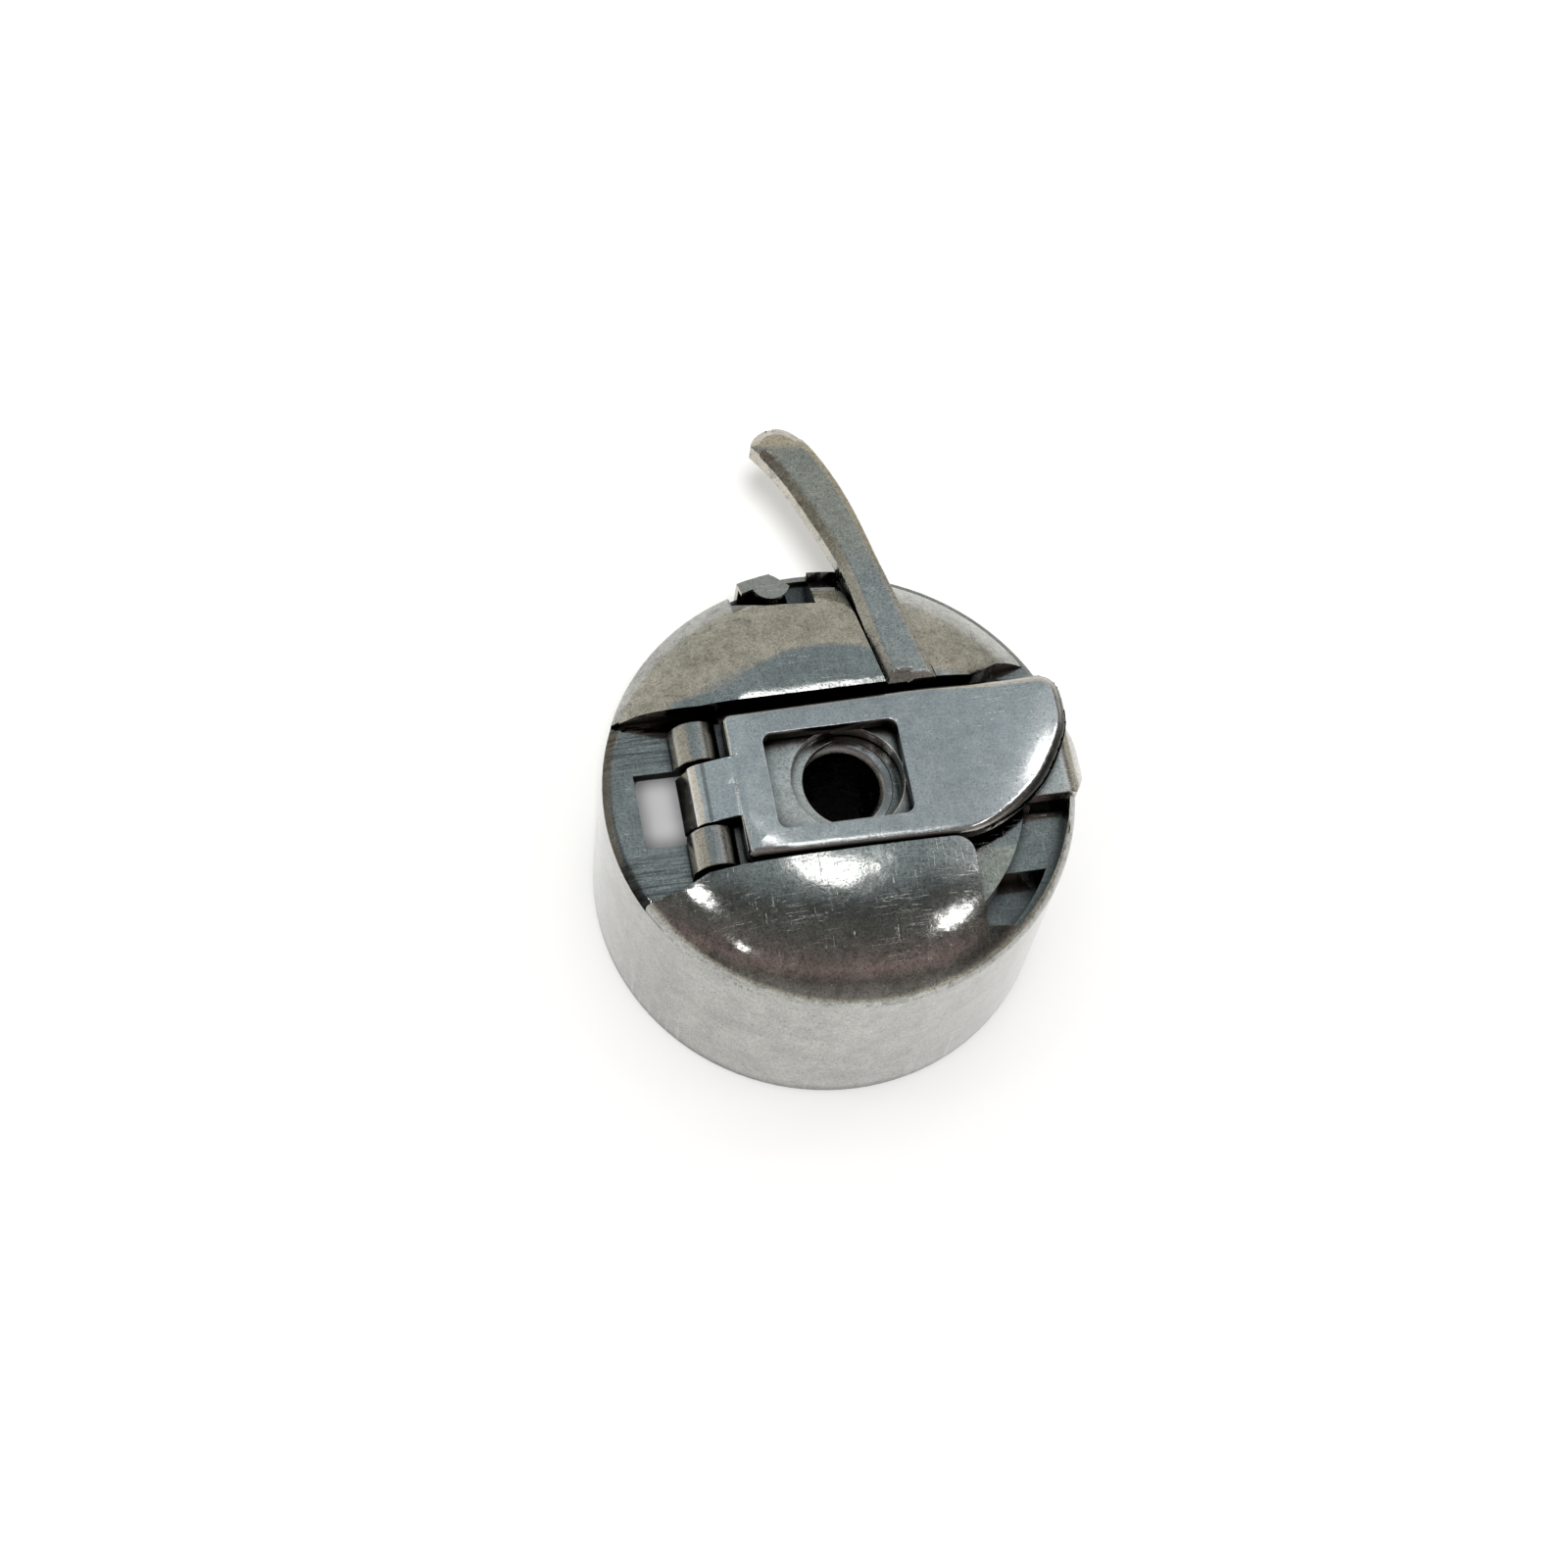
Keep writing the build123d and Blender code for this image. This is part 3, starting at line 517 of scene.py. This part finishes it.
def lever_shade_and_sheen(t, mm, x, y, z):
    """Painted shade on the walls below the rim and in the crease where the plate leaves the knuckle, and a
    painted sheen on both ends.
    """
    # painted shade on the walls below the rim
    walls = t.all_of(t.below(z, 12.84, 12.97), t.step(x, -5.0, -4.7))
    # painted shade in the crease where the plate leaves the knuckle
    crease_shade = t.between(x, (-6.80, -6.70), (-6.62, -6.52))
    # painted sheen on both ends of the plate
    ends = t.math("ADD", t.below(x, -5.6, -3.0), t.math("MULTIPLY", t.step(x, 4.5, 8.5), 0.6))
    painted_sheen = t.mix(ends, (1.0, 1.0, 1.0), (1.22, 1.24, 1.24))
    return t.all_of(t.darkened(walls, 0.9), t.darkened(crease_shade, 0.5), painted_sheen)


def slide_knuckle_darkening(t, mm, x, y, z):
    """Darker knuckles."""
    return t.darkened(t.below(x, -5.5, -5.3), 0.36)


def post_shade(t, mm, x, y, z):
    """Painted shade: nearly black inside the bore and darker on the end beside it, away from the hinge."""
    radius = t.radius(x, y)
    bore = t.all_of(t.below(radius, 1.96, 2.0), t.below(z, 11.08, 11.14))
    end = t.all_of(t.step(radius, 2.12, 2.2), t.step(t.math("ADD", x, y), -0.6, 0.9))
    return t.all_of(t.darkened(bore, 0.97), t.darkened(end, 0.45))


MATERIALS = {
    "case_steel": steel(
        "case_steel",
        light=(0.60, 0.60, 0.57),
        dark=(0.36, 0.36, 0.345),
        roughness=(0.05, 0.11),
        spots=0.75,
        grain=(0.6, 5.0, 1.0),
        grain_depth=0.08,
        dents=0.08,
        reach=1.3,
        stain_and_shade=case_stain_and_shade,
    ),
    "post_steel": steel(
        "post_steel",
        light=(0.62, 0.63, 0.63),
        dark=(0.46, 0.47, 0.47),
        roughness=(0.18, 0.3),
        mottle=1.2,
        spots=0.4,
        reach=0.4,
        recess_shade=((0.1, 0.3), (0.4, 0.8), (0.7, 1.0)),
        stain_and_shade=post_shade,
    ),
    "finger_steel": steel(
        "finger_steel",
        light=(0.64, 0.635, 0.61),
        dark=(0.44, 0.44, 0.425),
        roughness=(0.14, 0.3),
        mottle=1.4,
        spots=0.9,
        grain=(4.0, 0.6, 1.0),
        grain_turn=0.3,
        dents=0.15,
        reach=0.8,
        stain_and_shade=finger_stain,
    ),
    "slide_steel": steel(
        "slide_steel",
        light=(0.82, 0.81, 0.77),
        dark=(0.62, 0.61, 0.58),
        roughness=(0.15, 0.25),
        mottle=1.3,
        spots=0.7,
        grain=(4.0, 0.4, 1.0),
        grain_depth=0.15,
        dents=0.03,
        reach=1.6,
        recess_shade=((0.42, 0.01), (0.60, 0.5), (0.80, 1.0)),
        stain_and_shade=slide_knuckle_darkening,
    ),
    "lever_steel": steel(
        "lever_steel",
        light=(0.68, 0.68, 0.67),
        dark=(0.52, 0.52, 0.52),
        roughness=(0.12, 0.2),
        mottle=0.8,
        spots=0.45,
        grain=(0.5, 4.0, 1.0),
        grain_turn=0.1,
        grain_depth=0.12,
        dents=0.07,
        reach=1.2,
        stain_and_shade=lever_shade_and_sheen,
    ),
    "spring_steel": steel(
        "spring_steel",
        light=(0.60, 0.56, 0.50),
        dark=(0.46, 0.43, 0.38),
        roughness=(0.16, 0.28),
        mottle=1.2,
        spots=0.4,
        grain=(0.5, 0.5, 6.0),
        grain_depth=0.4,
        dents=0.1,
        reach=1.0,
    ),
    "screw_steel": steel(
        "screw_steel",
        light=(0.50, 0.50, 0.49),
        dark=(0.34, 0.34, 0.33),
        roughness=(0.2, 0.34),
        mottle=1.5,
    ),
}


# ---------------------------------------------------------------- pieces
def part_mesh(source):
    """Mesh of a CAD node in millimetres, with its doubled points joined."""
    mesh = bmesh.new()
    mesh.from_mesh(source.data)
    mesh.transform(Matrix.Scale(1 / MM, 4))
    bmesh.ops.remove_doubles(mesh, verts=mesh.verts, dist=MERGE_DISTANCE)
    return mesh


def break_edges(mesh, width):
    """Narrow bevel along the outer sharp edges."""
    limit = math.radians(BEVEL_ANGLE)
    bmesh.ops.bevel(
        mesh,
        geom=[e for e in mesh.edges if len(e.link_faces) == 2 and e.calc_face_angle_signed(0) > limit],
        offset=width,
        offset_type="OFFSET",
        segments=BEVEL_SEGMENTS,
        profile=0.5,
        affect="EDGES",
        clamp_overlap=True,
    )


def cut_grid(mesh, cuts):
    """Cuts the mesh by rows of planes, each an axis, the first and last place and the step."""
    bmesh.ops.triangulate(mesh, faces=mesh.faces)
    for axis, low, high, step in cuts:
        normal = Vector((0, 0, 0))
        normal[axis] = 1
        place = low
        while place <= high:
            geometry = list(mesh.verts) + list(mesh.edges) + list(mesh.faces)
            bmesh.ops.bisect_plane(mesh, geom=geometry, dist=1e-4, plane_co=normal * place, plane_no=normal)
            place += step


def refined(node, edge=0.0, cuts=None, shape=None, crisp=None):
    """Smoother copy of a part: its sharp edges are broken, then it is cut into a grid and reshaped.

    With crisp, an angle, edges sharper than it before the reshaping keep flat shading beside them.
    """
    source = nodes[node]
    slot_name = slots[node]
    mesh = part_mesh(source)
    flat = math.radians(FLAT_ANGLE)
    bmesh.ops.dissolve_limit(mesh, angle_limit=flat, verts=mesh.verts, edges=mesh.edges)
    if edge:
        break_edges(mesh, edge)
    if crisp:
        for e in mesh.edges:
            e.smooth = e.calc_face_angle(0) < math.radians(crisp)
    if cuts:
        cut_grid(mesh, cuts)
    if shape:
        for v in mesh.verts:
            v.co = shape(v.co)
    for f in mesh.faces:
        f.smooth = True
    bmesh.ops.triangulate(mesh, faces=[f for f in mesh.faces if len(f.verts) > 4])
    mesh.transform(Matrix.Scale(MM, 4))
    data = bpy.data.meshes.new(node + "_shape")
    mesh.to_mesh(data)
    mesh.free()
    if not crisp:
        data.set_sharp_from_angle(angle=math.radians(SMOOTH_ANGLE))
    piece = bpy.data.objects.new(node + "_shape", data)
    bpy.context.collection.objects.link(piece)
    data.materials.append(MATERIALS[slot_name])
    normals = piece.modifiers.new("even_normals", "WEIGHTED_NORMAL")
    normals.keep_sharp = True
    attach(piece, body_of(source)[0])
    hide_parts(node)


def smooth(low, high, value):
    """0 below low, 1 above high and a soft step between them."""
    t = min(max((value - low) / (high - low), 0.0), 1.0)
    return t * t * (3 - 2 * t)


def ellipse(r, flat_r, width):
    """Height of a rounded face as a share of its top: 1 within flat_r, then a quarter ellipse."""
    return math.sqrt(max(1 - (max(r - flat_r, 0) / width) ** 2, 0.0))


def far_lobe(p, r):
    """Share of the dome's height on the far lobe: a flat, an eased crease, a slope and a rolled lip."""
    crease_r = 6.5
    ease = 0.3
    width = 5.0
    past = max(r - crease_r, 0)
    eased = past if abs(r - crease_r) > ease else (r - crease_r + ease) ** 2 / (4 * ease)
    u = past / width
    share = 1 - 0.36 * eased / width - 0.24 * u ** 2 - 0.40 * u ** 4
    at_hinge = min(0.12 * max(-6.3 - p.x, 0), 0.35)
    at_end = min(0.45 * max(p.x - 7.1, 0), 0.9)
    lip_y = CHANNEL_BACK_Y + at_hinge + at_end
    return share - 0.045 * max(0.42 - (p.y - lip_y), 0)


def case_shape(p):
    """Near lobe that slopes from its lip on, and far lobe with a flat that ends at a crease.

    The floor's outer edge beside the hinge is chamfered. The undercut's ceiling, the bottom of the
    finger's groove and the top of the rear block stay where they are.
    """
    r = math.hypot(p.x, p.y)
    floor_edge = p.x < FLOOR_CHAMFER_X and r > FLOOR_CHAMFER_R
    if floor_edge and FLOOR_CHAMFER_LOW_Z < p.z < SHOULDER_Z:
        return Vector((p.x, p.y, p.z - FLOOR_CHAMFER_SLOPE * (r - FLOOR_CHAMFER_R)))
    ceiling = abs(p.z - UNDERCUT_TOP_Z) < 0.01 and abs(p.y) < 4.8 and r < 10.2
    if p.z < SHOULDER_Z + 0.001 or r > CUP_R - 0.0001 or ceiling:
        return p
    old = max(ellipse(r, DOME_FLAT_R, CUP_R - DOME_FLAT_R), 0.001)
    on_dome = abs(p.z - SHOULDER_Z - DOME_HEIGHT * old) < 0.06
    on_flat = min(abs(p.z - FINGER_BOTTOM_Z), abs(p.z - REAR_BLOCK_Z)) < 0.02
    if p.y < NEAR_LOBE_Y:
        new = ellipse(r, NEAR_FLAT_R, NEAR_SIDE)
    elif p.y > FAR_LOBE_Y and (on_dome or not on_flat):
        new = far_lobe(p, r)
    else:
        return p
    return Vector((p.x, p.y, SHOULDER_Z + (p.z - SHOULDER_Z) * min(new / old, 1.0)))


def finger_shape(tree):
    """Finger with a broad worn bevel along its left side, a narrow one on the right and a low tip."""
    look_around = 2.6
    level_with = 0.15
    least_width = 0.6
    left_bevel, right_bevel = 0.5, 0.28
    left_slope, right_slope = 0.7, 0.5
    tip_start_y, tip_y, round_tip_y = 17.3, 19.4, 18.4
    tip_drop = 0.35

    def move(p):
        if p.z < (FINGER_BOTTOM_Z + FINGER_TOP_Z) / 2:
            return p
        near, _, d = tree.find((p.x, p.y, 0))
        around = tree.find_range((near.x, near.y, 0), look_around)
        sides = [q.x for q, _, _ in around if abs(q.y - near.y) < level_with]
        left = near.x < (min(sides) + max(sides)) / 2 and max(sides) - min(sides) > least_width
        width = left_bevel if left or near.y > round_tip_y else right_bevel
        drop = max(width - d, 0) * (left_slope if left else right_slope)
        tip = tip_drop * smooth(tip_start_y, tip_y, p.y) ** 2
        return Vector((p.x, p.y, min(p.z, FINGER_TOP_Z - drop - tip)))

    return move


def outline_tree(source, height, holes):
    """Points along the outer edge of a plate's underside, for measuring distance from it in plan.

    Edges inside the holes, each a centre and half sizes in plan, are left out.
    """
    mesh = part_mesh(source)
    spacing = 0.03
    found = []
    for e in mesh.edges:
        a, b = (v.co for v in e.verts)
        level = abs(a.z - height) < 0.01 and abs(b.z - height) < 0.01
        inside = any(abs(a.x - x) < half_x and abs(a.y - y) < half_y for x, y, half_x, half_y in holes)
        if level and not inside and len(e.link_faces) == 2 and e.calc_face_angle(0) > 1.0:
            count = max(int((b - a).length / spacing), 1)
            found += [a.lerp(b, i / count) for i in range(count + 1)]
    mesh.free()
    tree = KDTree(len(found))
    for i, p in enumerate(found):
        tree.insert((p.x, p.y, 0), i)
    tree.balance()
    return tree


def lever_shape(tree):
    """Plate with soft edges that falls away gently towards its free end."""

    def move(p):
        if p.z < (LEVER_BOTTOM_Z + LEVER_TOP_Z) / 2 or p.x < -5.25:
            return p
        d = tree.find((p.x, p.y, 0))[2]
        end = smooth(4.5, 9.0, p.x)
        corner = math.exp(-((p.x + 4.9) ** 2 + (p.y + 3.4) ** 2) / 1.3)
        near_right = math.exp(-((p.x - 9.6) ** 2 + (p.y + 0.5) ** 2) / 6.0)
        radius = 0.2 + 0.34 * end + 0.12 * corner
        drop = 0.12 * max(0.36 - d, 0)
        if d < radius:
            drop += radius - math.sqrt(max(radius ** 2 - (radius - d) ** 2, 0.0))
        fall = (0.07 + 0.13 * near_right) * end * math.exp(-(d / 1.1) ** 2)
        fall += 0.10 * corner * math.exp(-(d / 0.7) ** 2)
        return Vector((p.x, p.y, min(p.z, LEVER_TOP_Z - drop - fall)))

    return move


lever_window = (-0.28, 0, 3.5, 2.7)
finger_tang = (3.6, 7.0, 0.85, 0.85)
lever_outline = outline_tree(nodes["latch_lever"], LEVER_BOTTOM_Z, [lever_window])
finger_outline = outline_tree(nodes["position_finger"], FINGER_BOTTOM_Z, [finger_tang])

refined(
    "case_body",
    edge=0.1,
    cuts=[(0, -11.2, 11.2, 0.35), (1, -11.2, -4.2, 0.35), (1, CHANNEL_BACK_Y, 11.2, 0.3)],
    shape=case_shape,
    crisp=CRISP_ANGLE,
)
refined(
    "latch_lever",
    edge=0.05,
    cuts=[(0, -5.2, 4.4, 0.3), (0, 4.5, 11.5, 0.12), (1, -3.9, 4.1, 0.12)],
    shape=lever_shape(lever_outline),
)
refined(
    "position_finger",
    cuts=[(1, 4.3, 19.4, 0.16), (0, -1.6, 5.4, 0.12)],
    shape=finger_shape(finger_outline),
)
for name, edge in (
    ("centre_post", 0.05),
    ("latch_slide", 0.08),
    ("tension_spring", 0.0),
    ("tension_adjusting_screw", 0.03),
    ("tension_fixing_screw", 0.03),
):
    refined(name, edge, crisp=CRISP_ANGLE)
for name, obj in nodes.items():
    for material_slot in obj.material_slots:
        material_slot.material = MATERIALS[slots[name]]
